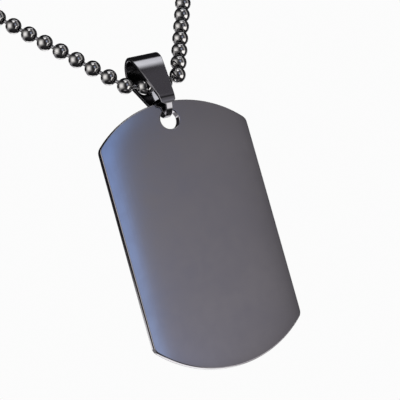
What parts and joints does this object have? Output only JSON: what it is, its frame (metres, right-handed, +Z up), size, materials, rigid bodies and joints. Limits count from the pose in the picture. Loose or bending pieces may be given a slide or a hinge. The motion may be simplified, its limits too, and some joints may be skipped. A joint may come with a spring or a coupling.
{
  "type": "identification dog tag",
  "caption": "Flat metal identification tag with bowed ends and a hole near its top edge, carried by a tapered folded bail on a closed ball chain with a plain sleeve connector.",
  "frame": {"origin": "middle of the chain's connector, where the loop rests on the nape of the neck", "axes": "+Z up; the plate hangs plumb, below and in front of the origin, and its face looks towards -Y; +X is to the right seen from the front"},
  "size_m": [0.1558, 0.1614, 0.2338],
  "materials": {
    "plate_metal": "smooth gunmetal, softly polished",
    "bail_metal": "dark polished gunmetal",
    "chain_metal": "dark polished beads",
    "connector_metal": "dark polished sleeve"
  },
  "bodies": {
    "chain": {"ball_chain": "chain_metal", "chain_connector": "connector_metal"},
    "bail": {"bail": "bail_metal"},
    "tag": {"tag_plate": "plate_metal"}
  },
  "joints": [
    {"name": "pendant_swing", "type": "hinge", "parent": "chain", "child": "bail", "pos_m": [0, -0.15456, -0.1778], "axis": [1, 0, 0], "range_deg": [-90, 90]},
    {"name": "tag_swing", "type": "hinge", "parent": "bail", "child": "tag", "pos_m": [0, -0.15634, -0.18165], "axis": [1, 0, 0], "range_deg": [-36, 36]}
  ]
}
